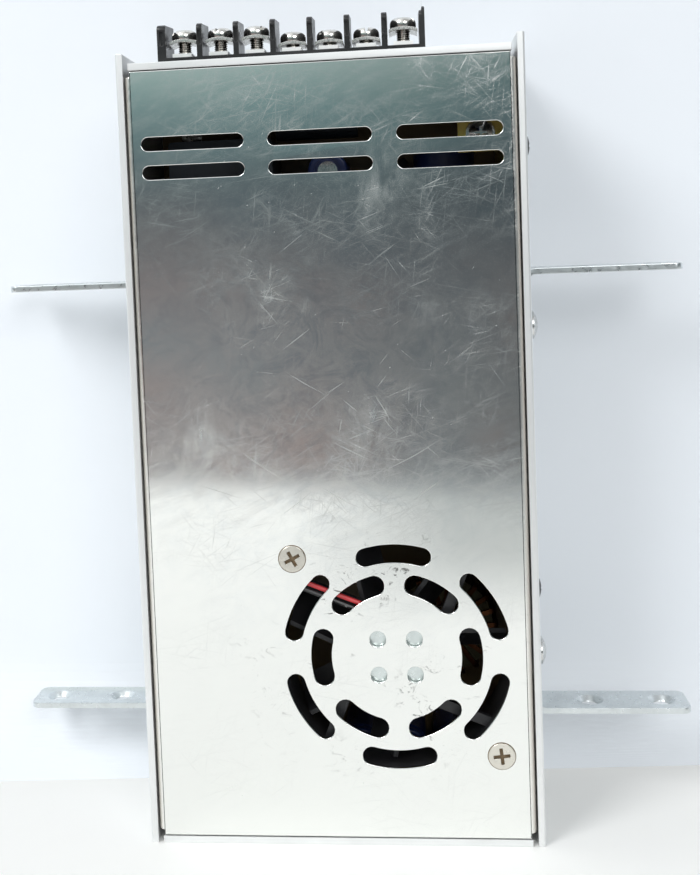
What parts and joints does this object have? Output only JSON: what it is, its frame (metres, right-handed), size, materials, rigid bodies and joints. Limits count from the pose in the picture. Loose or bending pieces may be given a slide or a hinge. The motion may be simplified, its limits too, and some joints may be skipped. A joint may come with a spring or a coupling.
{
  "type": "enclosed switching power supply",
  "caption": "Slim aluminium-cased switching power supply with vent slots and a fan grille in the cover, screw terminals at one end and corner braces on its sides.",
  "frame": {"origin": "middle of the case's width and depth, on the plane of the lower end", "axes": "+Z along the case towards the terminals, -Y out of the cover with the fan grille, +X to the right seen from the cover"},
  "size_m": [0.1794, 0.05, 0.2087],
  "materials": {
    "case_aluminium": "mill finish",
    "cover_aluminium": "scratched mill finish",
    "screw_steel": "plated",
    "black_steel": "black oxide",
    "black_plastic": "moulded",
    "brass": "sintered bronze",
    "copper": "enamelled copper wire",
    "nickel": "nickel plated",
    "red_wire": "PVC sleeve",
    "white_plastic": "moulded",
    "green_board": "solder mask",
    "tan_board": "phenolic board",
    "dark_film": "insulating film",
    "blue_sleeve": "heat-shrink sleeve",
    "ferrite": "sintered",
    "yellow_tape": "polyester tape",
    "yellow_core": "powder coat",
    "blue_plastic": "moulded",
    "cream_ceramic": "glazed",
    "dark_ceramic": "epoxy coat",
    "zinc": "zinc plated",
    "green_lens": "tinted resin"
  },
  "bodies": {
    "case": {"chassis": "case_aluminium", "cover": "cover_aluminium", "cover_screws": "screw_steel", "wall_screws": "black_steel", "brace_lower_left": "zinc", "brace_lower_right": "zinc", "brace_upper_left": "zinc", "brace_upper_right": "zinc", "brace_screws": "screw_steel", "fan_frame": "black_plastic", "fan_disc": "cover_aluminium", "fan_bearing": "brass", "fan_stator": "copper", "fan_screws": "nickel", "fan_wires": "red_wire", "fan_plug": "white_plastic", "terminal_block": "black_plastic", "terminal_contacts": "nickel", "terminal_board": "green_board", "circuit_board": "tan_board", "board_standoffs": "screw_steel", "board_screws": "screw_steel", "insulating_sheet": "dark_film", "heatsink_left": "case_aluminium", "heatsink_right": "case_aluminium", "switching_transistors": "black_plastic", "bridge_rectifier": "black_plastic", "output_rectifiers": "black_plastic", "device_screws": "screw_steel", "storage_capacitors": "blue_sleeve", "lying_capacitor": "blue_sleeve", "output_capacitors": "blue_sleeve", "transformer_core": "ferrite", "transformer_bobbin": "black_plastic", "transformer_winding": "yellow_tape", "choke_core": "ferrite", "choke_coils": "copper", "inductor_core": "yellow_core", "inductor_coil": "copper", "film_capacitor": "blue_plastic", "fuse": "cream_ceramic", "varistor": "dark_ceramic", "trimmer_body": "blue_plastic", "indicator_lamp": "green_lens"},
    "terminal_1": {"terminal_screw_1": "nickel", "terminal_clamp_1": "nickel"},
    "terminal_2": {"terminal_screw_2": "nickel", "terminal_clamp_2": "nickel"},
    "terminal_3": {"terminal_screw_3": "nickel", "terminal_clamp_3": "nickel"},
    "terminal_4": {"terminal_screw_4": "nickel", "terminal_clamp_4": "nickel"},
    "terminal_5": {"terminal_screw_5": "nickel", "terminal_clamp_5": "nickel"},
    "terminal_6": {"terminal_screw_6": "nickel", "terminal_clamp_6": "nickel"},
    "terminal_7": {"terminal_screw_7": "nickel", "terminal_clamp_7": "nickel"},
    "fan_blades": {"fan_rotor": "black_plastic"},
    "trimmer": {"trimmer_rotor": "white_plastic"}
  },
  "joints": [
    {"name": "fan_spin", "type": "hinge", "parent": "case", "child": "fan_blades", "pos_m": [0.0143, -0.015, 0.048], "axis": [0, 1, 0], "continuous": true},
    {"name": "trimmer_turn", "type": "hinge", "parent": "case", "child": "trimmer", "pos_m": [0.0323, -0.003, 0.19], "axis": [0, 0, 1], "range_deg": [-130, 130]},
    {"name": "terminal_travel_1", "type": "slide", "parent": "case", "child": "terminal_1", "axis": [0, 0, 1], "range_m": [-0.002, 0]},
    {"name": "terminal_travel_2", "type": "slide", "parent": "case", "child": "terminal_2", "axis": [0, 0, 1], "range_m": [-0.002, 0]},
    {"name": "terminal_travel_3", "type": "slide", "parent": "case", "child": "terminal_3", "axis": [0, 0, 1], "range_m": [-0.002, 0]},
    {"name": "terminal_travel_4", "type": "slide", "parent": "case", "child": "terminal_4", "axis": [0, 0, 1], "range_m": [0, 0.002]},
    {"name": "terminal_travel_5", "type": "slide", "parent": "case", "child": "terminal_5", "axis": [0, 0, 1], "range_m": [0, 0.002]},
    {"name": "terminal_travel_6", "type": "slide", "parent": "case", "child": "terminal_6", "axis": [0, 0, 1], "range_m": [0, 0.002]},
    {"name": "terminal_travel_7", "type": "slide", "parent": "case", "child": "terminal_7", "axis": [0, 0, 1], "range_m": [-0.002, 0]}
  ]
}
